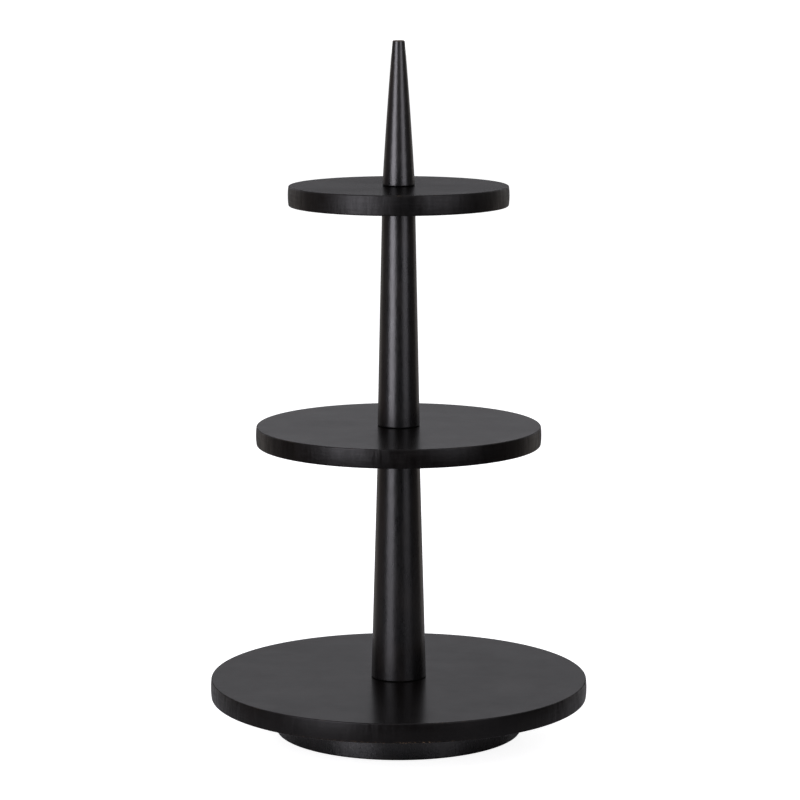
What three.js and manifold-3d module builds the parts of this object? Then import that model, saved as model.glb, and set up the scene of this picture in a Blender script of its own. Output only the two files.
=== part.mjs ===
// Tiered stand in black lacquered wood: three round shelves on a turned post that ends in a
// plain spire, over a round foot. Each post is screwed to the next through the tier between them.
// Millimetres, +Z up. The origin is the middle of the standing surface, under the felt pads.

import * as THREE from 'three';
import { mergeVertices, toCreasedNormals } from 'three/addons/utils/BufferGeometryUtils.js';
import Module from 'manifold-3d';

const wasm = await Module();
wasm.setup();

// Tiers and foot
const baseTierDiameter = 402;
const baseTierThickness = 21;
const middleTierDiameter = 302;
const middleTierThickness = 20;
const topTierDiameter = 232;
const topTierThickness = 21;
const footDiameter = 263;
const footThickness = 36.5;
const rimRound = 2; // fillet along both rims of a tier and of the foot
const landMargin = 1; // how far the flat land under a post reaches past the post

// Turned posts, measured at their two ends
const lowerPostLength = 252;
const lowerPostFootDiameter = 58.4;
const lowerPostHeadDiameter = 44;
const middlePostLength = 233;
const middlePostFootDiameter = 44.6;
const middlePostHeadDiameter = 34.8;
const postEndRound = 1.2;

// Spire, whose side bulges a little past the straight line from its foot to its tip
const spireLength = 151;
const spireFootDiameter = 34;
const spireTipDiameter = 12.7;
const spireSwell = 0.57;
const spireTipRound = 1.6;

// Bolt and washer that draw the lower post down on the base
const threadDiameter = 8;
const threadChamfer = 1;
const boltLength = 60; // under the head
const boltEngagement = 13; // length of the bolt inside the insert
const boltHeadDiameter = 13;
const boltHeadHeight = 8;
const boltHeadChamfer = 0.8;
const boltSocketAcrossFlats = 6;
const boltSocketDepth = 4.5;
const washerDiameter = 24;
const washerThickness = 2;

// Threaded insert in the foot end of every post
const insertDiameter = 12;
const insertLength = 18;
const insertChamfer = 0.6;

// Double-ended stud in the head of a post: wood thread below, machine thread above
const studLength = 70;
const studEngagement = 15; // length of the stud inside the insert above it
const studPointLength = 7;

// Countersunk wood screws that hold the foot to the base tier
const screwCount = 4;
const screwCircleDiameter = 150;
const screwLength = 40;
const screwDiameter = 5;
const screwHeadDiameter = 10;
const screwHeadHeight = 2.8;
const screwHeadEdge = 0.4; // height of the head's straight edge
const screwPointLength = 6;
const screwCover = 5.5; // wood left in the base tier above the point

// Felt pads
const padCount = 4;
const padDiameter = 24;
const padThickness = 2;
const padInset = 16; // from the foot's side to the pad's edge
const padEdge = 0.4;

// Clearances
const fitClearance = 0.3; // all round a metal piece in its own hole or bore
const washerClearance = 1; // all round the washer in its counterbore
const throughClearance = 0.5; // all round the bolt and studs where they only pass through
const endRoom = 2; // empty length past the end of a bolt, stud or screw
const cutOverrun = 1; // how far a cutting tool reaches past the face it opens

// Fineness of the round faces
const tierSegments = 80;
const postSegments = 40;
const hardwareSegments = 20;
const filletSteps = 3;
const swellSteps = 4;
const creaseAngle = Math.PI / 5;

// Finishes
const blackLacquer = new THREE.MeshStandardMaterial({ color: 0x1b1b1c, roughness: 0.36, metalness: 0 });
const zincSteel = new THREE.MeshStandardMaterial({ color: 0xa9abad, roughness: 0.35, metalness: 1 });
const brass = new THREE.MeshStandardMaterial({ color: 0xb5924c, roughness: 0.35, metalness: 1 });
const felt = new THREE.MeshStandardMaterial({ color: 0x2a2a2b, roughness: 0.95, metalness: 0 });

// Where the fasteners end up
const baseStack = footThickness + baseTierThickness;
const counterboreDepth = baseStack + boltEngagement + washerThickness - boltLength;
const screwHeadDepth = baseStack - screwCover - screwLength;
const insertBoreDepth = insertLength + endRoom;

// One corner of an outline, rounded with a fillet that runs tangent to both of its sides
function filletPoints(before, corner, after, fillet) {
  const towardBefore = before.clone().sub(corner);
  const towardAfter = after.clone().sub(corner);
  const room = Math.min(towardBefore.length(), towardAfter.length()) / 2;
  towardBefore.normalize();
  towardAfter.normalize();
  const halfAngle = Math.acos(towardBefore.dot(towardAfter)) / 2;
  const radius = Math.min(fillet, room * Math.tan(halfAngle));
  const inward = towardBefore.clone().add(towardAfter).normalize();
  const centre = corner.clone().addScaledVector(inward, radius / Math.sin(halfAngle));
  const tangentLength = radius / Math.tan(halfAngle);
  const from = corner.clone().addScaledVector(towardBefore, tangentLength).sub(centre);
  const to = corner.clone().addScaledVector(towardAfter, tangentLength).sub(centre);
  const sweep = Math.atan2(from.cross(to), from.dot(to));
  return Array.from({ length: filletSteps + 1 }, (_, step) =>
    from.clone().rotateAround(new THREE.Vector2(), (sweep * step) / filletSteps).add(centre));
}

// One closed body turned about Z. Corners are [radius, height, fillet], with the material on the
// left of the line: it starts and ends on the axis, or it goes round a bore and closes on itself.
function turned(corners, segments) {
  const points = corners.map(([radius, height]) => new THREE.Vector2(radius, height));
  const outline = points.flatMap((point, i) => {
    const fillet = corners[i][2];
    return fillet ? filletPoints(points[i - 1], point, points[i + 1], fillet) : [point];
  });
  if (points[0].x > 0) outline.push(points[0]);
  return closedBody(new THREE.LatheGeometry(outline, segments).rotateX(Math.PI / 2));
}

// The same body with shared vertices and without the empty triangles at the axis
function closedBody(geometry) {
  geometry.deleteAttribute('normal');
  geometry.deleteAttribute('uv');
  const body = mergeVertices(geometry);
  const corners = body.index.array;
  const kept = [];
  for (let i = 0; i < corners.length; i += 3) {
    const [a, b, c] = corners.slice(i, i + 3);
    if (a !== b && b !== c && c !== a) kept.push(a, b, c);
  }
  body.setIndex(kept);
  return body;
}

function solid(geometry) {
  const vertProperties = geometry.attributes.position.array;
  const triVerts = Uint32Array.from(geometry.index.array);
  return new wasm.Manifold(new wasm.Mesh({ numProp: 3, vertProperties, triVerts }));
}

// The body with each of the tools cut out of it
function carved(geometry, tools) {
  const mesh = tools.reduce((body, tool) => body.subtract(solid(tool)), solid(geometry)).getMesh();
  const result = new THREE.BufferGeometry();
  result.setAttribute('position', new THREE.BufferAttribute(mesh.vertProperties, 3));
  result.setIndex(new THREE.BufferAttribute(mesh.triVerts, 1));
  return result;
}

function piece(name, geometry, material) {
  const mesh = new THREE.Mesh(toCreasedNormals(geometry, creaseAngle), material);
  mesh.name = name;
  return mesh;
}

// A mesh stores 32-bit numbers, so what stands on a face takes that face's stored height
function groupAt(parent, height) {
  const group = new THREE.Group();
  group.position.z = Math.fround(height);
  parent.add(group);
  return group;
}

// Places spaced evenly round the axis, the first one turned by a share of the spacing
function ringOf(count, radius, turnShare) {
  return Array.from({ length: count }, (_, i) => {
    const angle = (2 * Math.PI * (i + turnShare)) / count;
    return new THREE.Vector3(radius * Math.cos(angle), radius * Math.sin(angle), 0);
  });
}

const screwPlaces = ringOf(screwCount, screwCircleDiameter / 2, 0.5);
const padPlaces = ringOf(padCount, footDiameter / 2 - padInset - padDiameter / 2, 0);

// Hole of one foot screw, from below the foot up to the room past the screw's point
function screwHole(headHeight) {
  const headRadius = screwHeadDiameter / 2 + fitClearance;
  const shankRadius = screwDiameter / 2 + fitClearance;
  return turned([
    [0, -cutOverrun],
    [headRadius, -cutOverrun],
    [headRadius, headHeight + screwHeadEdge],
    [shankRadius, headHeight + screwHeadHeight],
    [shankRadius, headHeight + screwLength + endRoom],
    [0, headHeight + screwLength + endRoom],
  ], hardwareSegments);
}

function screwHoles(footUnderside) {
  return screwPlaces.map(({ x, y }) => screwHole(screwHeadDepth).translate(x, y, footUnderside));
}

// Round shelf with a hole for the bolt or stud, and a land where the post above it stands
function tier(diameter, thickness, postDiameter) {
  const holeRadius = threadDiameter / 2 + throughClearance;
  const radius = diameter / 2;
  return turned([
    [holeRadius, 0],
    [radius, 0, rimRound],
    [radius, thickness, rimRound],
    [postDiameter / 2 + landMargin, thickness],
    [holeRadius, thickness],
  ], tierSegments);
}

function baseTier() {
  const blank = tier(baseTierDiameter, baseTierThickness, lowerPostFootDiameter);
  return carved(blank, screwHoles(-footThickness));
}

// Thick round foot with a counterbore for the washer and the bolt's head
function footPlinth() {
  const holeRadius = threadDiameter / 2 + throughClearance;
  const pocketRadius = washerDiameter / 2 + washerClearance;
  const radius = footDiameter / 2;
  const blank = turned([
    [pocketRadius, 0],
    [radius, 0, rimRound],
    [radius, footThickness, rimRound],
    [holeRadius, footThickness],
    [holeRadius, counterboreDepth],
    [pocketRadius, counterboreDepth],
  ], tierSegments);
  return carved(blank, screwHoles(0));
}

// Side of a post from foot to head, with a bulge that is greatest halfway
function postSide(footRadius, headRadius, length, swell, headRound) {
  const steps = swell ? swellSteps : 1;
  return Array.from({ length: steps + 1 }, (_, step) => {
    const share = step / steps;
    const radius = THREE.MathUtils.lerp(footRadius, headRadius, share);
    const fillet = { 0: postEndRound, [steps]: headRound }[step];
    return [radius + 4 * swell * share * (1 - share), length * share, fillet];
  });
}

// Bore for the threaded insert, drawn from its blind end down to the post's foot
function insertBore() {
  const radius = insertDiameter / 2 + fitClearance;
  return [[0, insertBoreDepth], [radius, insertBoreDepth], [radius, 0]];
}

// Hole for the stud, drawn from the post's head down to its blind end
function studHole(postLength, tierThickness) {
  const radius = threadDiameter / 2 + fitClearance;
  const end = postLength - studDepth(tierThickness) - endRoom;
  return [[radius, postLength], [radius, end], [0, end]];
}

// Length of the stud inside the post under the tier
function studDepth(tierThickness) {
  return studLength - studEngagement - tierThickness;
}

function post(footDiameter, headDiameter, length, tierThickness) {
  return turned([
    ...insertBore(),
    ...postSide(footDiameter / 2, headDiameter / 2, length, 0, postEndRound),
    ...studHole(length, tierThickness),
  ], postSegments);
}

function spire() {
  return turned([
    ...insertBore(),
    ...postSide(spireFootDiameter / 2, spireTipDiameter / 2, spireLength, spireSwell, spireTipRound),
    [0, spireLength],
  ], postSegments);
}

function insert() {
  const inner = threadDiameter / 2 + fitClearance;
  const outer = insertDiameter / 2;
  return turned([
    [inner, 0],
    [outer - insertChamfer, 0],
    [outer, insertChamfer],
    [outer, insertLength - insertChamfer],
    [outer - insertChamfer, insertLength],
    [inner, insertLength],
  ], hardwareSegments);
}

function stud() {
  const radius = threadDiameter / 2;
  return turned([
    [0, 0],
    [radius, studPointLength],
    [radius, studLength - threadChamfer],
    [radius - threadChamfer, studLength],
    [0, studLength],
  ], hardwareSegments);
}

// Socket-head bolt, head down
function bolt() {
  const headRadius = boltHeadDiameter / 2;
  const radius = threadDiameter / 2;
  const tip = boltHeadHeight + boltLength;
  const blank = turned([
    [0, 0],
    [headRadius - boltHeadChamfer, 0],
    [headRadius, boltHeadChamfer],
    [headRadius, boltHeadHeight],
    [radius, boltHeadHeight],
    [radius, tip - threadChamfer],
    [radius - threadChamfer, tip],
    [0, tip],
  ], hardwareSegments);
  return carved(blank, [hexSocket()]);
}

function hexSocket() {
  const sides = 6;
  const cornerRadius = boltSocketAcrossFlats / 2 / Math.cos(Math.PI / sides);
  const height = boltSocketDepth + cutOverrun;
  const prism = new THREE.CylinderGeometry(cornerRadius, cornerRadius, height, sides);
  return closedBody(prism.rotateX(Math.PI / 2).translate(0, 0, height / 2 - cutOverrun));
}

function washer() {
  const inner = threadDiameter / 2 + fitClearance;
  const outer = washerDiameter / 2;
  return turned([
    [inner, 0],
    [outer, 0],
    [outer, washerThickness],
    [inner, washerThickness],
  ], hardwareSegments);
}

// Wood screw, head down
function screw() {
  const headRadius = screwHeadDiameter / 2;
  const radius = screwDiameter / 2;
  return turned([
    [0, 0],
    [headRadius, 0],
    [headRadius, screwHeadEdge],
    [radius, screwHeadHeight],
    [radius, screwLength - screwPointLength],
    [0, screwLength],
  ], hardwareSegments);
}

function feltPad() {
  const radius = padDiameter / 2;
  return turned([
    [0, 0],
    [radius - padEdge, 0],
    [radius, padEdge],
    [radius, padThickness],
    [0, padThickness],
  ], hardwareSegments);
}

// A piece placed at a spot of its group
function placed(mesh, { x = 0, y = 0, z = 0 }) {
  mesh.position.set(x, y, z);
  return mesh;
}

// Felt pads, foot, bolt, washer and screws, from the standing surface up. Returns the group on the foot.
function addFoot(stand) {
  padPlaces.forEach((place, i) => stand.add(placed(piece(`felt_pad_${i + 1}`, feltPad(), felt), place)));
  const foot = groupAt(stand, padThickness);
  foot.add(piece('foot_plinth', footPlinth(), blackLacquer));
  const washerHeight = counterboreDepth - washerThickness;
  foot.add(placed(piece('base_washer', washer(), zincSteel), { z: washerHeight }));
  foot.add(placed(piece('base_bolt', bolt(), zincSteel), { z: washerHeight - boltHeadHeight }));
  screwPlaces.forEach(({ x, y }, i) => {
    foot.add(placed(piece(`foot_screw_${i + 1}`, screw(), zincSteel), { x, y, z: screwHeadDepth }));
  });
  return groupAt(foot, footThickness);
}

// A tier in its own group. Returns the group on its top face.
function addTier(group, name, geometry, thickness) {
  group.add(piece(name, geometry, blackLacquer));
  return groupAt(group, thickness);
}

// A post with its insert and the stud in its head. Returns the group on its head.
function addPost(group, name, size, insertName, studName) {
  group.add(piece(name, post(size.foot, size.head, size.length, size.tierThickness), blackLacquer));
  group.add(piece(insertName, insert(), brass));
  const studHeight = size.length - studDepth(size.tierThickness);
  group.add(placed(piece(studName, stud(), zincSteel), { z: studHeight }));
  return groupAt(group, size.length);
}

const lowerPost = {
  foot: lowerPostFootDiameter,
  head: lowerPostHeadDiameter,
  length: lowerPostLength,
  tierThickness: middleTierThickness,
};
const middlePost = {
  foot: middlePostFootDiameter,
  head: middlePostHeadDiameter,
  length: middlePostLength,
  tierThickness: topTierThickness,
};
const middleTier = tier(middleTierDiameter, middleTierThickness, middlePostFootDiameter);
const topTier = tier(topTierDiameter, topTierThickness, spireFootDiameter);

const stand = new THREE.Group();
const onFoot = addFoot(stand);
const onBaseTier = addTier(onFoot, 'base_tier', baseTier(), baseTierThickness);
const onLowerPost = addPost(onBaseTier, 'lower_post', lowerPost, 'lower_post_insert', 'lower_stud');
const onMiddleTier = addTier(onLowerPost, 'middle_tier', middleTier, middleTierThickness);
const onMiddlePost = addPost(onMiddleTier, 'middle_post', middlePost, 'middle_post_insert', 'upper_stud');
const onTopTier = addTier(onMiddlePost, 'top_tier', topTier, topTierThickness);
onTopTier.add(piece('spire', spire(), blackLacquer));
onTopTier.add(piece('spire_insert', insert(), brass));

export default stand;
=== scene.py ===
"""Looks of the tiered stand: turned and lacquered wood, its hardware, the studio and the camera."""

import math

import bpy
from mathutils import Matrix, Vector


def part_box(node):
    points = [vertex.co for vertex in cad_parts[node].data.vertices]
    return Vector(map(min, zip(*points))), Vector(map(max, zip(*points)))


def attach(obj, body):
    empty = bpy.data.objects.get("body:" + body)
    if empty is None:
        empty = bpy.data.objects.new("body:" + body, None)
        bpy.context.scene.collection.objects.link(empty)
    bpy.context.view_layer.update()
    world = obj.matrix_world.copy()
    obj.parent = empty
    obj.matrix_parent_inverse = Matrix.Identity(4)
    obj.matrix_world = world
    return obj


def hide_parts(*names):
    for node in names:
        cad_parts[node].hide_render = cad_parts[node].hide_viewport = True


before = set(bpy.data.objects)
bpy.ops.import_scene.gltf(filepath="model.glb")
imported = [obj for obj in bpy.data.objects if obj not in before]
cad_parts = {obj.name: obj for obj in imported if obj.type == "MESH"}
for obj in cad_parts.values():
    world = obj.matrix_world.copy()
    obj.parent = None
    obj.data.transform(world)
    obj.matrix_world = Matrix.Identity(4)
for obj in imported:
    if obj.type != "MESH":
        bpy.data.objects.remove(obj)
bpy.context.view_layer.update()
MM = 0.001


class Value:
    """The output of a node. Python arithmetic on it adds the Math nodes that work it out."""

    def __init__(self, tree, output):
        self.tree, self.output = tree, output

    def math(self, operation, *numbers):
        return self.tree.node("ShaderNodeMath", {"operation": operation}, numbers)

    def __add__(self, other):
        return self.math("ADD", self, other)

    def __radd__(self, other):
        return self.math("ADD", other, self)

    def __sub__(self, other):
        return self.math("SUBTRACT", self, other)

    def __rsub__(self, other):
        return self.math("SUBTRACT", other, self)

    def __mul__(self, other):
        return self.math("MULTIPLY", self, other)

    def __rmul__(self, other):
        return self.math("MULTIPLY", other, self)

    def __truediv__(self, other):
        return self.math("DIVIDE", self, other)

    def __lt__(self, other):
        return self.math("LESS_THAN", self, other)

    def __gt__(self, other):
        return self.math("GREATER_THAN", self, other)

    def __abs__(self):
        return self.math("ABSOLUTE", self)

    def __getitem__(self, name):
        """Another output of the same node."""
        return Value(self.tree, self.output.node.outputs[name])


class Tree:
    """Adds nodes to a node tree. One method makes every kind of node."""

    def __init__(self, nodes):
        self.nodes, self.links = nodes.nodes, nodes.links

    def node(self, kind, settings=None, sockets=()):
        """A node with its settings, then its sockets, which are given in order or by name."""
        made = self.nodes.new(kind)
        for name, setting in (settings or {}).items():
            if name == "choices":
                while len(made.index_switch_items) < setting:
                    made.index_switch_items.new()
            else:
                setattr(made, name, setting)
        named = sockets.items() if isinstance(sockets, dict) else enumerate(sockets)
        for key, value in named:
            if isinstance(value, Value):
                self.links.new(value.output, made.inputs[key])
            elif value is not None:
                made.inputs[key].default_value = value
        outputs = [output for output in made.outputs if output.enabled]
        return Value(self, outputs[0]) if outputs else None

    def xyz(self, vector):
        """The parts of a vector, as ["X"], ["Y"] and ["Z"]."""
        return self.node("ShaderNodeSeparateXYZ", {}, [vector])


# Shapes: each kind of piece has its own tree of Geometry Nodes, with its sizes as named inputs

SOCKETS = {int: "NodeSocketInt", float: "NodeSocketFloat", bpy.types.Material: "NodeSocketMaterial"}
SUPPORT = 0.35 * MM  # keeps a flat face flat up to its fillet
FLAT = 0.98  # the least Z, up or down, in the normal of a flat face


class Shape(Tree):
    """A tree of Geometry Nodes whose inputs are the sizes of a piece, in metres."""

    def __init__(self, name, finish, **sizes):
        self.group = bpy.data.node_groups.new(name, "GeometryNodeTree")
        super().__init__(self.group)
        self.inputs = {key.replace("_", " ").capitalize(): value for key, value in sizes.items()}
        self.inputs["Finish"] = finish
        for key, value in self.inputs.items():
            kind = next(SOCKETS[known] for known in SOCKETS if isinstance(value, known))
            self.group.interface.new_socket(key, in_out="INPUT", socket_type=kind)
        self.group.interface.new_socket(
            "Geometry", in_out="OUTPUT", socket_type="NodeSocketGeometry"
        )
        self.size = self.node("NodeGroupInput")

    def vector(self, x=0.0, y=0.0, z=0.0):
        return self.node("ShaderNodeCombineXYZ", {}, [x, y, z])

    def vector_math(self, operation, *sockets):
        return self.node("ShaderNodeVectorMath", {"operation": operation}, sockets)

    def scaled(self, vector, scale):
        sockets = {"Vector": vector, "Scale": scale}
        return self.node("ShaderNodeVectorMath", {"operation": "SCALE"}, sockets)

    def circle(self, resolution, radius):
        sockets = {"Resolution": resolution, "Radius": radius}
        return self.node("GeometryNodeCurvePrimitiveCircle", {"mode": "RADIUS"}, sockets)

    def realized(self, instances):
        return self.node("GeometryNodeRealizeInstances", {}, [instances])

    def by_number(self, kind, values):
        """For each point of a line, the value in the list that has the point's number."""
        sockets = {0: self.node("GeometryNodeInputIndex")}
        sockets.update({number + 1: value for number, value in enumerate(values)})
        settings = {"data_type": kind, "choices": len(values)}
        return self.node("GeometryNodeIndexSwitch", settings, sockets)

    def supported(self, outline):
        """The outline's points and fillets, with an extra point on each side of every fillet."""
        places = [self.vector(radius, height) for radius, height, _ in outline]
        points = []
        for i, (place, (_, _, fillet)) in enumerate(zip(places, outline)):
            if fillet == 0:
                points.append((place, 0.0))
                continue
            reach = fillet + SUPPORT
            near = []
            for neighbour in (places[i - 1], places[i + 1]):
                way = self.vector_math("SUBTRACT", neighbour, place)
                way = self.scaled(self.vector_math("NORMALIZE", way), reach)
                near.append((self.vector_math("ADD", place, way), 0.0))
            points += [near[0], (place, fillet), near[1]]
        return points

    def turned(self, outline, turns, fillet_steps=6):
        """Turns an outline of (radius, height, fillet) about Z, with the material on its left."""
        points = self.supported(outline)
        if outline[0][0] != 0.0:
            points.append(points[0])
        line = self.node("GeometryNodeMeshLine", {}, {"Count": len(points)})
        places = self.by_number("VECTOR", [place for place, _ in points])
        line = self.node("GeometryNodeSetPosition", {}, {"Geometry": line, "Position": places})
        fillets = self.by_number("FLOAT", [fillet for _, fillet in points])
        line = self.node(
            "GeometryNodeStoreNamedAttribute", {"data_type": "FLOAT"},
            {"Geometry": line, "Name": "fillet", "Value": fillets},
        )
        line = self.node("GeometryNodeMergeByDistance", {}, {"Geometry": line, "Distance": 1e-6})
        curve = self.node("GeometryNodeMeshToCurve", {}, {"Mesh": line})
        fillet = self.node("GeometryNodeInputNamedAttribute", {"data_type": "FLOAT"}, ["fillet"])
        curve = self.node(
            "GeometryNodeFilletCurve", {"mode": "POLY"},
            {"Curve": curve, "Count": fillet_steps, "Radius": fillet},
        )
        pin = 1 * MM  # radius of the circle that the outline goes round, moved in by as much
        place = self.xyz(self.node("GeometryNodeInputPosition"))
        profile = self.vector(place["X"] - pin, 0 - place["Y"])
        curve = self.node("GeometryNodeSetPosition", {}, {"Geometry": curve, "Position": profile})
        body = self.node("GeometryNodeCurveToMesh", {}, {
            "Curve": self.circle(turns, pin), "Profile Curve": curve,
        })
        body = self.node("GeometryNodeMergeByDistance", {}, {"Geometry": body, "Distance": 2e-6})
        return self.node("GeometryNodeFlipFaces", {}, {"Mesh": body})

    def thread(self, radius, depth, pitch, low, high):
        """A ridge that winds up a shank, thinning out at both ends. The radius is its crest's."""
        length = high - low
        helix = self.node("GeometryNodeCurveSpiral", {}, {
            "Resolution": 24, "Rotations": length / pitch, "Start Radius": radius - depth,
            "End Radius": radius - depth, "Height": length,
        })
        helix = self.node("GeometryNodeSetCurveNormal", {"mode": "Z_UP"}, [helix])
        along = self.node("GeometryNodeSplineParameter")["Length"] / (pitch * 4)
        left = self.node("GeometryNodeSplineLength") / (pitch * 4) - along
        thick = along.math("MINIMUM", along, left)
        thick = self.node("ShaderNodeClamp", {}, {"Value": thick, "Min": 0.05, "Max": 1.0})
        ridge = self.node("GeometryNodeCurveToMesh", {}, {
            "Curve": helix, "Profile Curve": self.circle(4, depth), "Scale": thick,
            "Fill Caps": True,
        })
        return self.moved(ridge, z=low)

    def ring_of(self, part, count, radius, turn=0.0):
        """Copies of a part, spaced evenly on a circle and each turned to face outwards."""
        facing = self.vector(z=self.node("GeometryNodeInputIndex") * (2 * math.pi) / count)
        ring = self.node("GeometryNodeInstanceOnPoints", {}, {
            "Points": self.circle(count, radius), "Instance": part,
            "Rotation": self.node("FunctionNodeEulerToRotation", {}, [facing]),
        })
        whole = self.node("FunctionNodeEulerToRotation", {}, [self.vector(z=turn)])
        ring = self.node("GeometryNodeTransform", {}, {"Geometry": ring, "Rotation": whole})
        return self.realized(ring)

    def moved(self, geometry, x=0.0, y=0.0, z=0.0):
        return self.node(
            "GeometryNodeSetPosition", {}, {"Geometry": geometry, "Offset": self.vector(x, y, z)}
        )

    def joined(self, *parts):
        whole = self.node("GeometryNodeJoinGeometry")
        for part in reversed(parts):
            self.links.new(part.output, whole.output.node.inputs[0])
        return whole

    def cut(self, body, tool):
        """The body with the tool cut out of it."""
        return self.node(
            "GeometryNodeMeshBoolean", {"operation": "DIFFERENCE", "solver": "EXACT"},
            {"Mesh 1": body, "Mesh 2": tool},
        )

    def crisp(self, geometry, crease=35):
        """Smooth faces, with an edge left sharp where they meet at more than the crease angle."""
        sharp = self.node("GeometryNodeInputMeshEdgeAngle") > math.radians(crease)
        geometry = self.node("GeometryNodeSetShadeSmooth", {"domain": "FACE"}, [geometry])
        return self.node(
            "GeometryNodeSetShadeSmooth", {"domain": "EDGE"},
            {"Geometry": geometry, "Selection": sharp, "Shade Smooth": False},
        )

    def finished(self, geometry, edged=False):
        """Ends the tree with its finish, and with the other one on the edge where there is one."""
        geometry = self.node(
            "GeometryNodeSetMaterial", {}, {"Geometry": geometry, "Material": self.size["Finish"]}
        )
        if edged:
            normal = self.xyz(self.node("GeometryNodeInputNormal"))
            geometry = self.node("GeometryNodeSetMaterial", {}, {
                "Geometry": geometry, "Selection": abs(normal["Z"]) < FLAT,
                "Material": self.size["Edge finish"],
            })
        self.node("NodeGroupOutput", {}, [geometry])
        return self

    def piece(self, name, slot, *replaced):
        """The plain mesh that the tree makes of its sizes, standing for those CAD nodes."""
        made = bpy.data.objects.new(name, bpy.data.meshes.new("blank"))
        bpy.context.scene.collection.objects.link(made)
        modifier = made.modifiers.new("Shape", "NODES")
        modifier.node_group = self.group
        for item in self.group.interface.items_tree:
            if item.in_out == "INPUT":
                modifier[item.identifier] = self.inputs[item.name]
        bpy.context.view_layer.update()
        evaluated = made.evaluated_get(bpy.context.evaluated_depsgraph_get())
        mesh = bpy.data.meshes.new_from_object(evaluated)
        mesh.name = name
        if mesh.materials[0] is None:
            mesh.materials.pop(index=0)
        made.modifiers.remove(modifier)
        made.data = mesh
        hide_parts(*replaced)
        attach(made, "root")
        return made


def across(node):
    low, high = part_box(node)
    return high.x - low.x


def tall(node):
    low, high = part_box(node)
    return high.z - low.z


def bottom(node):
    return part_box(node)[0].z


# Wood

WOOD = "black_lacquer"
TURNS = 256  # faces round a tier or the foot
RIM_ROUND, SIDE_SWELL = 1.4 * MM, 0.7 * MM
SCREWS, SCREW_CIRCLE = 4, 150 * MM
EIGHTH = math.pi / 4  # of a turn, which puts each screw midway between two felt pads


def screw_holes(shape, node):
    """The holes of the foot screws in a board, each up to the room past its screw's point."""
    head_radius, shank_radius = 5.3 * MM, 2.8 * MM
    seat = bottom("foot_screw_1") - bottom(node)
    end = seat + tall("foot_screw_1") + 2 * MM
    hole = shape.turned([
        (0.0, -1 * MM, 0.0),
        (head_radius, -1 * MM, 0.0),
        (head_radius, seat + 0.4 * MM, 0.0),
        (shank_radius, seat + 2.8 * MM, 0.0),
        (shank_radius, end, 0.0),
        (0.0, end, 0.0),
    ], 32)
    return shape.ring_of(hole, SCREWS, SCREW_CIRCLE / 2, EIGHTH)


def swollen(diameter, thickness, fillet, swell):
    """The side of a sanded board from its lower rim to its upper one, fullest halfway up."""
    side, steps = [], 8
    for step in range(steps + 1):
        share = step / steps
        radius = diameter / 2 - swell * (2 * share - 1) ** 2
        side.append((radius, thickness * share, 0.0))
    side[0] = (side[0][0], 0.0, fillet)
    side[-1] = (side[-1][0], thickness, fillet)
    return side[:1] + side[2:-2] + side[-1:]  # the fillets need the room of two points


def tier(node, face, edge, screwed=False):
    """Round shelf with a hole for the bolt or stud, and over the foot with its screws' holes."""
    shape = Shape(
        "Tier", face, edge_finish=edge, height=bottom(node), diameter=across(node),
        thickness=tall(node), rim_round=RIM_ROUND, side_swell=SIDE_SWELL, hole_diameter=9 * MM,
        turns=TURNS,
    )
    size = shape.size
    hole = size["Hole diameter"] / 2
    side = swollen(size["Diameter"], size["Thickness"], size["Rim round"], size["Side swell"])
    outline = [(hole, 0.0, 0.0), *side, (hole, size["Thickness"], 0.0)]
    body = shape.turned(outline, size["Turns"])
    if screwed:
        body = shape.cut(body, screw_holes(shape, node))
    body = shape.crisp(shape.moved(body, z=size["Height"]))
    return shape.finished(body, edged=True).piece(node + "_board", WOOD, node)


def foot(node, face, edge):
    """Thick round foot with a counterbore for the washer and the bolt's head."""
    shape = Shape(
        "Foot", face, edge_finish=edge, height=bottom(node), diameter=across(node),
        thickness=tall(node), rim_round=RIM_ROUND, side_swell=SIDE_SWELL, hole_diameter=9 * MM,
        counterbore_diameter=26 * MM, counterbore_depth=12.5 * MM, turns=TURNS,
    )
    size = shape.size
    hole, pocket = size["Hole diameter"] / 2, size["Counterbore diameter"] / 2
    side = swollen(size["Diameter"], size["Thickness"], size["Rim round"], size["Side swell"])
    body = shape.turned([
        (pocket, 0.0, 0.0),
        *side,
        (hole, size["Thickness"], 0.0),
        (hole, size["Counterbore depth"], 0.0),
        (pocket, size["Counterbore depth"], 0.0),
    ], size["Turns"])
    body = shape.cut(body, screw_holes(shape, node))
    body = shape.crisp(shape.moved(body, z=size["Height"]))
    return shape.finished(body, edged=True).piece(node + "_turned", WOOD, node)


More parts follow.
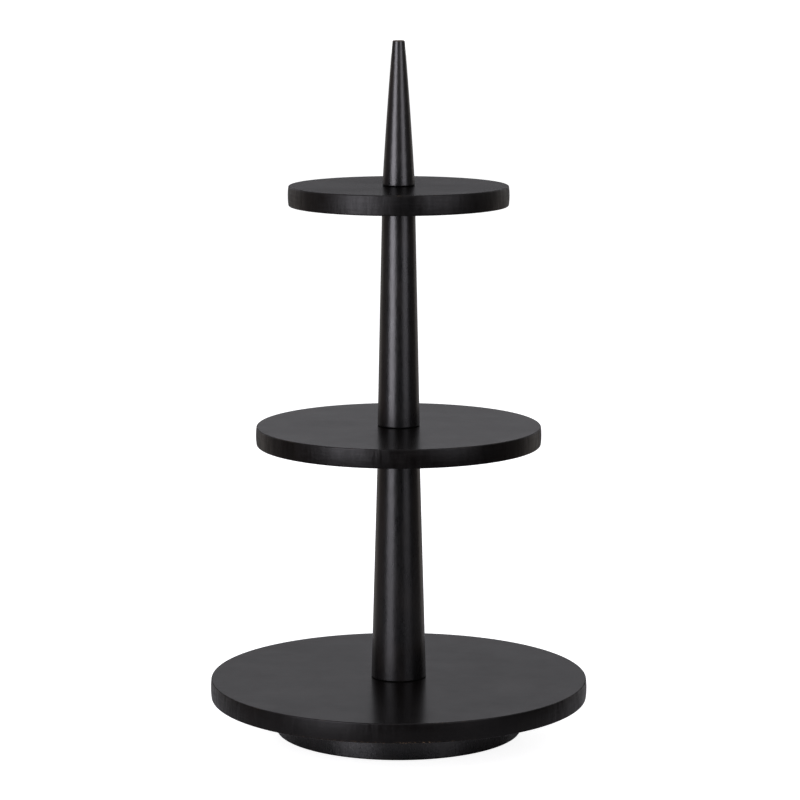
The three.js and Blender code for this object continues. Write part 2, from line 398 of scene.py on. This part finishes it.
def post(
    node, finish, foot_diameter, head_diameter, stud_depth=0.0, swell=0.0, head_round=1.2 * MM
):
    """Tapered post with a bore for the insert in its foot and one for the stud in its head."""
    shape = Shape(
        "Post", finish, height=bottom(node), length=tall(node), foot_diameter=foot_diameter,
        head_diameter=head_diameter, swell=swell, foot_round=1.2 * MM, head_round=head_round,
        bore_diameter=12.6 * MM, bore_depth=20 * MM, stud_hole_diameter=8.6 * MM,
        stud_hole_depth=stud_depth, turns=TURNS // 2,
    )
    size = shape.size
    length, bore = size["Length"], size["Bore diameter"] / 2
    foot_radius, head_radius = size["Foot diameter"] / 2, size["Head diameter"] / 2
    steps = 12 if swell else 1
    side = []
    for step in range(steps + 1):
        share = step / steps
        radius = foot_radius * (1 - share) + head_radius * share
        radius = radius + size["Swell"] * (4 * share * (1 - share))
        side.append((radius, length * share, 0.0))
    side[0] = (foot_radius, 0.0, size["Foot round"])
    side[-1] = (head_radius, length, size["Head round"])
    outline = [(0.0, size["Bore depth"], 0.0), (bore, size["Bore depth"], 0.0), (bore, 0.0, 0.0)]
    outline += side
    if stud_depth:
        hole, end = size["Stud hole diameter"] / 2, length - size["Stud hole depth"]
        outline += [(hole, length, 0.0), (hole, end, 0.0), (0.0, end, 0.0)]
    else:
        outline.append((0.0, length, 0.0))
    body = shape.moved(shape.turned(outline, size["Turns"]), z=size["Height"])
    return shape.finished(shape.crisp(body)).piece(node + "_turned", WOOD, node)


# Hardware

STEEL = "zinc_steel"
M8, M8_DEPTH, M8_PITCH = 4 * MM, 0.68 * MM, 1.25 * MM  # the thread's radius, depth and pitch
PADS = 4


def bolt(node, finish):
    """Socket-head bolt, head down, with a knurled head and a threaded end."""
    shape = Shape(
        "Bolt", finish, height=bottom(node), length=tall(node), head_diameter=13 * MM,
        head_height=8 * MM, socket_width=6 * MM, socket_depth=4.5 * MM, thread_length=28 * MM,
        knurls=44,
    )
    size = shape.size
    head, top, length = size["Head diameter"] / 2, size["Head height"], size["Length"]
    core, start = M8 - M8_DEPTH, size["Length"] - size["Thread length"]
    knurl = 0.16 * MM
    blank = shape.turned([
        (0.0, 0.0, 0.0),
        (head - 1.1 * MM, 0.0, 0.0),
        (head - 0.3 * MM, 0.8 * MM, 0.0),
        (head - knurl, 1.2 * MM, 0.0),
        (head - knurl, top, 0.2 * MM),
        (M8, top, 0.0),
        (M8, start, 0.0),
        (core, start + 1 * MM, 0.0),
        (core, length - 0.6 * MM, 0.0),
        (core - 0.6 * MM, length, 0.0),
        (0.0, length, 0.0),
    ], 64, 3)
    prism = shape.node("GeometryNodeMeshCylinder", {}, {
        "Vertices": 6, "Radius": size["Socket width"] / math.sqrt(3), "Depth": 12 * MM,
    })
    blank = shape.cut(blank, shape.moved(prism, z=size["Socket depth"] - 6 * MM))
    ridge = shape.node("GeometryNodeMeshCylinder", {}, {
        "Vertices": 3, "Radius": 2 * knurl, "Depth": top - 2.4 * MM,
    })
    ridges = shape.ring_of(ridge, size["Knurls"], head - 2 * knurl)
    ridges = shape.moved(ridges, z=top / 2 + 0.2 * MM)
    thread = shape.thread(M8, M8_DEPTH, M8_PITCH, start + 0.5 * MM, length - 0.7 * MM)
    body = shape.moved(shape.joined(shape.crisp(blank, 25), ridges, thread), z=size["Height"])
    return shape.finished(body).piece(node + "_threaded", STEEL, node)


def washer(node, finish):
    """Wide flat washer with rounded rims."""
    shape = Shape(
        "Washer", finish, height=bottom(node), diameter=across(node), thickness=tall(node),
        hole_diameter=8.6 * MM,
    )
    size = shape.size
    hole, radius = size["Hole diameter"] / 2, size["Diameter"] / 2
    body = shape.turned([
        (hole, 0.0, 0.0),
        (radius, 0.0, 0.5 * MM),
        (radius, size["Thickness"], 0.2 * MM),
        (hole, size["Thickness"], 0.0),
    ], 96, 4)
    body = shape.crisp(shape.moved(body, z=size["Height"]))
    return shape.finished(body).piece(node + "_pressed", STEEL, node)


def stud(node, finish):
    """Double-ended stud: a coarse wood thread below and a machine thread above."""
    shape = Shape(
        "Stud", finish, height=bottom(node), length=tall(node), wood_thread=32 * MM,
        machine_thread=26 * MM, point=7 * MM,
    )
    size = shape.size
    length, wood, point = size["Length"], size["Wood thread"], size["Point"]
    start = length - size["Machine thread"]
    root, core = M8 - 1.1 * MM, M8 - M8_DEPTH
    body = shape.turned([
        (0.0, 0.0, 0.0),
        (0.5 * MM, 0.6 * MM, 0.0),
        (root, point, 0.0),
        (root, wood, 0.0),
        (M8 - 0.1 * MM, wood + 1.5 * MM, 0.0),
        (M8 - 0.1 * MM, start, 0.0),
        (core, start + 1 * MM, 0.0),
        (core, length - 0.6 * MM, 0.0),
        (core - 0.6 * MM, length, 0.0),
        (0.0, length, 0.0),
    ], 48)
    coarse = shape.thread(M8, 1.1 * MM, 3 * MM, point * 0.6, wood)
    fine = shape.thread(M8, M8_DEPTH, M8_PITCH, start + 0.5 * MM, length - 0.7 * MM)
    body = shape.moved(shape.joined(shape.crisp(body, 25), coarse, fine), z=size["Height"])
    return shape.finished(body).piece(node + "_threaded", STEEL, node)


def insert(node, finish):
    """Brass insert with a coarse outer thread and a slot across its open end."""
    shape = Shape(
        "Insert", finish, height=bottom(node), length=tall(node), diameter=across(node),
        bore_diameter=8.6 * MM, slot_width=1.6 * MM, slot_depth=2.5 * MM,
    )
    size = shape.size
    length, radius, bore = size["Length"], size["Diameter"] / 2, size["Bore diameter"] / 2
    root = radius - 0.8 * MM
    body = shape.turned([
        (bore, 0.5 * MM, 0.0),
        (bore + 0.4 * MM, 0.0, 0.0),
        (root, 0.0, 0.1 * MM),
        (root, length, 0.3 * MM),
        (bore, length, 0.0),
    ], 64, 3)
    cutter = shape.node("GeometryNodeMeshCube", {}, {
        "Size": shape.vector(20 * MM, size["Slot width"], size["Slot depth"] * 2),
    })
    body = shape.crisp(shape.cut(body, cutter), 25)
    thread = shape.thread(radius, 0.8 * MM, 2.8 * MM, 2.6 * MM, length - 1.2 * MM)
    body = shape.moved(shape.joined(body, thread), z=size["Height"])
    return shape.finished(body).piece(node + "_threaded", "insert_brass", node)


def foot_screws(finish):
    """The countersunk screws that hold the foot on, heads down, with a cross in each head."""
    shape = Shape(
        "Wood screws", finish, height=bottom("foot_screw_1"), length=tall("foot_screw_1"),
        head_diameter=10 * MM, head_height=2.8 * MM, shank_diameter=5 * MM, thread_length=26 * MM,
        point=6 * MM, circle_diameter=SCREW_CIRCLE, count=SCREWS,
    )
    size = shape.size
    head, shank, length = size["Head diameter"] / 2, size["Shank diameter"] / 2, size["Length"]
    start, root = length - size["Thread length"], size["Shank diameter"] / 2 - 0.8 * MM
    blank = shape.turned([
        (0.0, 0.0, 0.0),
        (head, 0.0, 0.15 * MM),
        (head, 0.4 * MM, 0.0),
        (shank - 0.3 * MM, size["Head height"], 0.0),
        (shank - 0.3 * MM, start, 0.0),
        (root, start + 1 * MM, 0.0),
        (root, length - size["Point"], 0.0),
        (0.0, length, 0.0),
    ], 64, 3)
    arm, width, depth = 4.6 * MM, 0.9 * MM, 1.8 * MM
    for across_x, across_y in ((arm, width), (width, arm)):
        cube = shape.node("GeometryNodeMeshCube", {}, {
            "Size": shape.vector(across_x, across_y, 2 * depth),
        })
        corner = shape.xyz(shape.node("GeometryNodeInputPosition"))
        narrow = 0.7 - corner["Z"] * (0.3 / depth)
        shrunk = shape.vector(corner["X"] * narrow, corner["Y"] * narrow, corner["Z"])
        cube = shape.node("GeometryNodeSetPosition", {}, {"Geometry": cube, "Position": shrunk})
        blank = shape.cut(blank, cube)
    thread = shape.thread(shank, 0.8 * MM, 2.2 * MM, start, length - size["Point"] * 0.7)
    screw = shape.joined(shape.crisp(blank, 25), thread)
    ring = shape.ring_of(screw, size["Count"], size["Circle diameter"] / 2, EIGHTH)
    body = shape.moved(ring, z=size["Height"])
    nodes = [f"foot_screw_{i + 1}" for i in range(SCREWS)]
    return shape.finished(body).piece("foot_screws_threaded", STEEL, *nodes)


def felt_pads(finish):
    """The felt pads under the foot, with fibres that stand off their cut edges."""
    shape = Shape(
        "Felt pads", finish, diameter=across("felt_pad_1"), thickness=tall("felt_pad_1"),
        circle_diameter=207 * MM, count=PADS, fibre_length=0.8 * MM, fibres_per_m2=4.0e6, seed=7,
    )
    size = shape.size
    radius, thick = size["Diameter"] / 2, size["Thickness"]
    disc = shape.turned([
        (0.0, 0.0, 0.0),
        (radius * 0.4, 0.0, 0.0),
        (radius * 0.8, 0.0, 0.0),
        (radius, 0.0, 0.5 * MM),
        (radius, thick, 0.0),
        (0.0, thick, 0.0),
    ], 72, 4)
    place, normal = shape.node("GeometryNodeInputPosition"), shape.node("GeometryNodeInputNormal")
    lump = shape.node("ShaderNodeTexNoise", {}, {"Vector": place, "Scale": 700.0, "Detail": 3.0})
    height = shape.xyz(place)["Z"]
    soft = (lump - 0.5) * (height < thick * 0.9) * (height > thick * 0.1) * (0.35 * MM)
    out = shape.scaled(normal, soft)
    disc = shape.node("GeometryNodeSetPosition", {}, {"Geometry": disc, "Offset": out})
    disc = shape.crisp(disc, 60)
    points = shape.node("GeometryNodeDistributePointsOnFaces", {}, {
        "Mesh": disc, "Selection": abs(shape.xyz(normal)["Z"]) < 0.7,
        "Density": size["Fibres per m2"], "Seed": size["Seed"],
    })
    fibre = shape.node("GeometryNodeMeshCone", {}, {
        "Vertices": 3, "Side Segments": 1, "Radius Top": 0.01 * MM, "Radius Bottom": 0.03 * MM,
        "Depth": size["Fibre length"],
    })
    lean = shape.node("FunctionNodeRandomValue", {"data_type": "FLOAT_VECTOR"}, {
        "Min": (-0.9, -0.9, -3.1), "Max": (0.9, 0.9, 3.1), "Seed": size["Seed"],
    })
    facing = shape.node("FunctionNodeAlignRotationToVector", {"axis": "Z"}, {
        "Vector": points["Normal"],
    })
    facing = shape.node("FunctionNodeRotateRotation", {"rotation_space": "LOCAL"}, {
        "Rotation": facing, "Rotate By": shape.node("FunctionNodeEulerToRotation", {}, [lean]),
    })
    fuzz = shape.node("GeometryNodeInstanceOnPoints", {}, {
        "Points": points, "Instance": fibre, "Rotation": facing,
    })
    end, margin = shape.xyz(place), 0.02 * MM
    height = shape.node("ShaderNodeClamp", {}, [end["Z"], margin, thick - margin])
    fuzz = shape.node("GeometryNodeSetPosition", {}, {
        "Geometry": shape.realized(fuzz), "Position": shape.vector(end["X"], end["Y"], height),
    })
    pad = shape.joined(disc, fuzz)
    ring = shape.ring_of(pad, size["Count"], size["Circle diameter"] / 2)
    nodes = [f"felt_pad_{i + 1}" for i in range(PADS)]
    return shape.finished(ring).piece("felt_pads_cut", "grey_felt", *nodes)


# Finishes


class Finish(Tree):
    """A material with one Principled shader. Even values are set on it, the others linked."""

    def __init__(self, name, **even):
        self.material = bpy.data.materials.new(name)
        self.material.use_nodes = True
        super().__init__(self.material.node_tree)
        self.nodes.clear()
        named = {"ior": "IOR", "specular": "Specular IOR Level"}
        sockets = {
            named.get(key, key.replace("_", " ").title()): value for key, value in even.items()
        }
        shader = self.node("ShaderNodeBsdfPrincipled", {}, sockets)
        self.node("ShaderNodeOutputMaterial", {}, [shader])
        self.shader = shader.output.node
        self.place = self.node("ShaderNodeTexCoord")["Object"]

    def vary(self, socket, value):
        self.links.new(value.output, self.shader.inputs[socket])

    def noise(self, scale, detail=2.0, stretch=(1, 1, 1)):
        """Noise with that many lumps to the metre, drawn out along an axis by a stretch below 1."""
        place = self.node("ShaderNodeMapping", {}, {"Vector": self.place, "Scale": stretch})
        return self.node(
            "ShaderNodeTexNoise", {}, {"Vector": place, "Scale": float(scale), "Detail": detail}
        )["Fac"]

    def band(self, value, low, high):
        """0 below low and 1 above high, with an even slope between."""
        return self.node("ShaderNodeMapRange", {}, {
            "Value": value, "From Min": float(low), "From Max": float(high),
        })

    def mixed(self, share, plain, other):
        """One colour where the share is 0 and the other one where it is 1."""
        plain, other = (c if isinstance(c, Value) else (*c, 1) for c in (plain, other))
        return self.node("ShaderNodeMix", {"data_type": "RGBA"}, {0: share, 6: plain, 7: other})

    def near(self, place, reach):
        """1 at a place, given in metres, fading to 0 at the end of its reach."""
        gap = self.node("ShaderNodeVectorMath", {"operation": "DISTANCE"}, [self.place, place])
        return 1 - self.band(gap["Value"], reach * 0.5, reach)

    def facing_up(self, low, high):
        """0 where the surface's slope to the sky is below low, 1 where it is above high."""
        return self.band(self.xyz(self.node("ShaderNodeTexCoord")["Normal"])["Z"], low, high)

    def relief(self, height, depth):
        """Bump of that depth in metres, on the shader's normal."""
        self.vary("Normal", self.node("ShaderNodeBump", {}, {
            "Height": height, "Strength": 1.0, "Distance": depth,
        }))


BARE_WOOD = (0.17, 0.115, 0.07)

# Places of wear, in metres: the spire's tip, two on the base tier's lower rim in front, and a run
SPIRE_TIP = (0, 0, 0.7372)
WORN_RIM, RUBBED_RIM = (0.017, -0.2, 0.0385), (-0.02, -0.2, 0.0385)
LACQUER_RUN = (-0.05, -0.142, 0.3305)


def turned_lacquer(name, ior, rough, depth):
    """Satin black lacquer on the posts, the spire and the foot's side."""
    made = Finish(name, ior=ior)
    pores = made.noise(1100, 3.0, (1, 1, 0.12))
    rings = made.noise(800, 2.0, (0.02, 0.02, 1))
    dents = made.noise(110, 2.0, (1, 1, 0.45))
    cloud = made.noise(45, 3.0, (1, 1, 0.5))
    made.vary("Roughness", rough + (cloud - 0.5) * 0.12 + (pores - 0.5) * 0.2)
    warm = made.band(cloud, 0.45, 0.75)
    colour = made.mixed(warm, (0.002, 0.002, 0.0022), (0.005, 0.0036, 0.003))
    tip = made.near(SPIRE_TIP, 0.0085) * made.facing_up(0.25, 0.5) * 0.9
    made.vary("Base Color", made.mixed(tip, colour, BARE_WOOD))
    made.relief(pores * 0.2 + rings * 0.12 + dents, depth)
    return made.material


def face_lacquer(name, gloss, figure):
    """Thinner, duller lacquer on the flat faces, with the board's grain along X."""
    made = Finish(name, specular=0.0, roughness=0.5, coat_roughness=0.23)
    cloud = made.noise(25, 4.0, (0.6, 1, 1))
    grain = made.noise(500, 3.0, (0.12, 1, 1))
    spots = made.noise(140, 2.0, (0.6, 1, 1))
    uneven = (cloud - 0.5) * 0.1 + (spots - 0.5) * 0.05 + (grain - 0.5) * figure
    made.vary("Coat Weight", gloss + uneven)
    made.vary("Base Color", made.mixed(cloud, (0.0015, 0.0015, 0.0016), (0.004, 0.003, 0.0026)))
    return made.material


def edge_lacquer(name, ior, rough):
    """Lacquer on the boards' sides: uneven, with a run, duller rims, worn spots on the base tier's
    lower rim and lighter, browner flecks in patches on the upper rims.
    """
    made = Finish(name, ior=ior)
    cloud = made.noise(55, 3.0, (1, 1, 0.5))
    streaks = made.noise(160, 2.0, (1, 1, 0.2))
    grain = made.noise(420, 3.0, (0.15, 0.15, 1))
    run = made.near(LACQUER_RUN, 0.032) * made.facing_up(0.15, 0.3)
    uneven = (cloud - 0.5) * 0.2 + (streaks - 0.5) * 0.3 + (grain - 0.5) * 0.2
    rim = made.facing_up(0.35, 0.8) * 0.35
    made.vary("Roughness", rough + uneven + rim - run * 0.2)
    colour = made.mixed(cloud, (0.0006, 0.0006, 0.0007), (0.0032, 0.0022, 0.0018))
    specks = made.band(made.noise(750, 2.0, (0.5, 1, 1.5)), 0.54, 0.62)
    lowest = 1 - made.band(made.xyz(made.place)["Z"], 0.0398, 0.041)
    # Lighter, browner flecks in patches on the upward-facing rims of the tiers
    upper_rim_flecks = made.band(made.noise(40, 3.0), 0.5, 0.62) * made.facing_up(0.3, 0.6)
    dull = (upper_rim_flecks + made.near(RUBBED_RIM, 0.12) * lowest) * 0.2
    worn = made.near(WORN_RIM, 0.026) * lowest * 0.55 + dull
    made.vary("Base Color", made.mixed(worn * specks, colour, BARE_WOOD))
    made.relief(grain * 0.25 + streaks * 0.6 + cloud, 0.0006)
    return made.material


def bare_metal(name, colour, roughness):
    """Bare metal, duller in places."""
    made = Finish(name, metallic=1.0)
    haze = made.noise(900, 3.0)
    made.vary("Roughness", roughness + (haze - 0.5) * 0.2)
    dull = [channel * 0.75 for channel in colour]
    made.vary("Base Color", made.mixed(made.band(haze, 0.4, 0.8), colour, dull))
    made.relief(made.noise(2500, 2.0), 0.00002)
    return made.material


def felt():
    """Pressed felt, lighter and darker by its fibres."""
    made = Finish("pressed felt", roughness=1.0, specular=0.2)
    fibres = made.noise(2200, 4.0, (1, 0.3, 1))
    made.vary("Base Color", made.mixed(fibres, (0.025, 0.025, 0.027), (0.085, 0.085, 0.088)))
    made.relief(fibres + made.noise(700, 3.0), 0.0003)
    return made.material


turned = turned_lacquer("turned lacquer", ior=1.55, rough=0.31, depth=0.0002)
glossy = turned_lacquer("foot lacquer", ior=1.6, rough=0.28, depth=0.00006)
face = face_lacquer("face lacquer", gloss=0.315, figure=0.1)
small_face = face_lacquer("fine lacquer", gloss=0.22, figure=0.01)
edge = edge_lacquer("edge lacquer", ior=1.29, rough=0.38)
small_edge = edge_lacquer("small edge lacquer", ior=1.33, rough=0.43)
steel = bare_metal("zinc-plated steel", (0.62, 0.63, 0.64), roughness=0.34)
brass = bare_metal("machined brass", (0.72, 0.53, 0.24), roughness=0.3)

tier("base_tier", face, edge, screwed=True)
tier("middle_tier", face, edge)
tier("top_tier", small_face, small_edge)
foot("foot_plinth", face, glossy)
post("lower_post", turned, foot_diameter=58.4 * MM, head_diameter=44.0 * MM, stud_depth=37 * MM)
post("middle_post", turned, foot_diameter=44.6 * MM, head_diameter=34.8 * MM, stud_depth=36 * MM)
post(
    "spire", turned, foot_diameter=34.0 * MM, head_diameter=12.7 * MM, swell=0.57 * MM,
    head_round=1.6 * MM,
)
bolt("base_bolt", steel)
washer("base_washer", steel)
for node in ("lower_stud", "upper_stud"):
    stud(node, steel)
for node in ("lower_post_insert", "middle_post_insert", "spire_insert"):
    insert(node, brass)
foot_screws(steel)
felt_pads(felt())


# Studio

# The camera as fitted to the photograph: its place in metres, its degrees down and its lens in mm
CAMERA_PLACE = (0.0014, -3.276, 0.879)
CAMERA_DOWN, CAMERA_LENS, CAMERA_SENSOR = 9.03, 141.3, 36

LAMP_COLOUR = (0.99, 0.96, 1.05)
LAMP_DISTANCE = 1.3  # of the lamps beside the stand, from its axis


def seen(name, data, place, turn):
    """Puts a lamp, the camera or a sheet of the studio in its place."""
    made = bpy.data.objects.new(name, data)
    made.location, made.rotation_euler = place, turn
    bpy.context.scene.collection.objects.link(made)
    return made


lens = bpy.data.cameras.new("camera")
lens.sensor_width, lens.lens = CAMERA_SENSOR, CAMERA_LENS
camera = seen("camera", lens, CAMERA_PLACE, (math.radians(90 - CAMERA_DOWN), 0, 0))
bpy.context.scene.camera = camera


def softbox(name, place, target, width, height, radiance):
    """A flat lamp that faces its target. Its radiance is how bright it would look."""
    lamp = bpy.data.lights.new(name, "AREA")
    lamp.shape, lamp.size, lamp.size_y = "RECTANGLE", width, height
    lamp.energy = radiance * width * height * math.pi
    lamp.color = LAMP_COLOUR
    turn = (Vector(target) - Vector(place)).to_track_quat("-Z", "Y").to_euler()
    seen(name, lamp, place, turn).visible_camera = False


def around(azimuth, distance, height):
    """A place that many degrees round from the camera's side, to the right."""
    angle = math.radians(azimuth)
    return (distance * math.sin(angle), -distance * math.cos(angle), height)


def side_softbox(name, azimuth, middle, width, height, radiance):
    """A softbox that faces the stand's axis at the height of its own middle."""
    place, target = around(azimuth, LAMP_DISTANCE, middle), (0, 0, middle)
    softbox(name, place, target, width, height, radiance)


side_softbox("left softbox", -39, middle=0.83, width=0.75, height=1.32, radiance=6.0)
side_softbox("left reflector", -39, middle=0.0, width=0.75, height=0.26, radiance=2.2)
side_softbox("right softbox", 41, middle=1.02, width=0.68, height=1.2, radiance=2.8)
side_softbox("right reflector", 41, middle=0.18, width=0.68, height=0.4, radiance=0.8)
softbox("top softbox", (0, 1.4, 1.15), (0, 1.4, 0), width=1.4, height=0.8, radiance=2.5)

world = bpy.data.worlds.new("white surround")
world.use_nodes = True
bpy.context.scene.world = world
sky = Tree(world.node_tree)
sky.nodes.clear()
ray = sky.node("ShaderNodeLightPath")
shown = ray["Is Camera Ray"] + ray["Is Glossy Ray"] + ray["Is Transmission Ray"]
shown = shown.math("MINIMUM", shown, 1.0)
ambient = 0.12
light = {"Color": (1, 1, 1, 1), "Strength": ambient + (1 - ambient) * shown}
sky.node("ShaderNodeOutputWorld", {}, [sky.node("ShaderNodeBackground", {}, light)])


def sheet(name, points, faces, material):
    """A flat thing of the studio, which is not part of the stand."""
    mesh = bpy.data.meshes.new(name)
    mesh.from_pydata(points, [], faces)
    mesh.materials.append(material)
    made = seen(name, mesh, (0, 0, 0), (0, 0, 0))
    return made


def disc(inner, outer, sides=96):
    """Points and faces of a flat ring on the floor, or of a full disc."""
    turn = [2 * math.pi * i / sides for i in range(sides)]
    if not inner:
        return [(outer * math.cos(a), outer * math.sin(a), 0) for a in turn], [tuple(range(sides))]
    points = [(r * math.cos(a), r * math.sin(a), 0) for a in turn for r in (inner, outer)]
    after = [(2 * i + 2) % (2 * sides) for i in range(sides)]
    return points, [(2 * i, 2 * i + 1, after[i] + 1, after[i]) for i in range(sides)]


paper = Finish("white paper", base_color=(0.55, 0.55, 0.55, 1), roughness=0.35, specular=0.35)
paper.shader.inputs["Emission Color"].default_value = (1, 1, 1, 1)
paper.vary("Emission Strength", paper.node("ShaderNodeLightPath")["Is Camera Ray"] * 0.9)
mirrored, whole = 0.55, 40  # radii of the floor that the lacquer mirrors, and of all of it
sheet("floor", *disc(0, mirrored), paper.material)
far_floor = sheet("far_floor", *disc(mirrored, whole), paper.material)


def plain_card(name, colour, points, faces):
    """A card that only reflections show, as a studio uses to shape them."""
    glow = Finish(name, base_color=(0, 0, 0, 1), specular=0.0, emission_strength=1.0)
    glow.shader.inputs["Emission Color"].default_value = (*colour, 1)
    made = sheet(name, points, faces, glow.material)
    made.visible_camera = False
    return made


def card(name, colour, azimuths, distance, low, high):
    """A curved card, from the first azimuth round to the last."""
    first, last = azimuths
    sides = 40
    turn = [first + (last - first) * i / sides for i in range(sides + 1)]
    points = [around(azimuth, distance, height) for azimuth in turn for height in (low, high)]
    faces = [(2 * i, 2 * i + 1, 2 * i + 3, 2 * i + 2) for i in range(sides)]
    return plain_card(name, colour, points, faces)


far_floor.visible_glossy = False
near, far = 2.0, 15.0  # how far from the stand the cards are
low, middle, ceiling = -1.5, 0.9, 7.0  # the heights between which the near ones reach
deep = -12.0  # where the far ones start
black, behind, above = (0.004, 0.004, 0.004), (0.2, 0.2, 0.2), (0.3, 0.3, 0.3)
grey, cool = (0.48, 0.442, 0.42), (0.96, 0.95, 1.0)
corners, faces = disc(0, 6.0)
corners = [(x, y, ceiling) for x, y, _ in corners]
for thing in (
    far_floor,
    plain_card("ceiling card", above, corners, faces),
    card("high card", above, (-75, 120), near, middle, ceiling),
    card("black card", black, (-75, 75), near, low, middle),
    card("left dim card", (0.185, 0.158, 0.151), (-122, -75), near, low, ceiling),
    card("right dim card", (0.09, 0.077, 0.073), (75, 120), near, low, middle),
    card("left grey card", grey, (-150, -122), far, deep, 1.4),
    card("right grey card", grey, (120, 150), far, deep, 1.4),
    card("back card", behind, (150, 210), far, deep, 2.2),
    card("cool card", cool, (120, 240), far, 2.2, 30.0),
):
    thing.visible_diffuse = False
    thing.visible_shadow = False
    thing.visible_transmission = False

bpy.context.scene.view_settings.view_transform = "Standard"
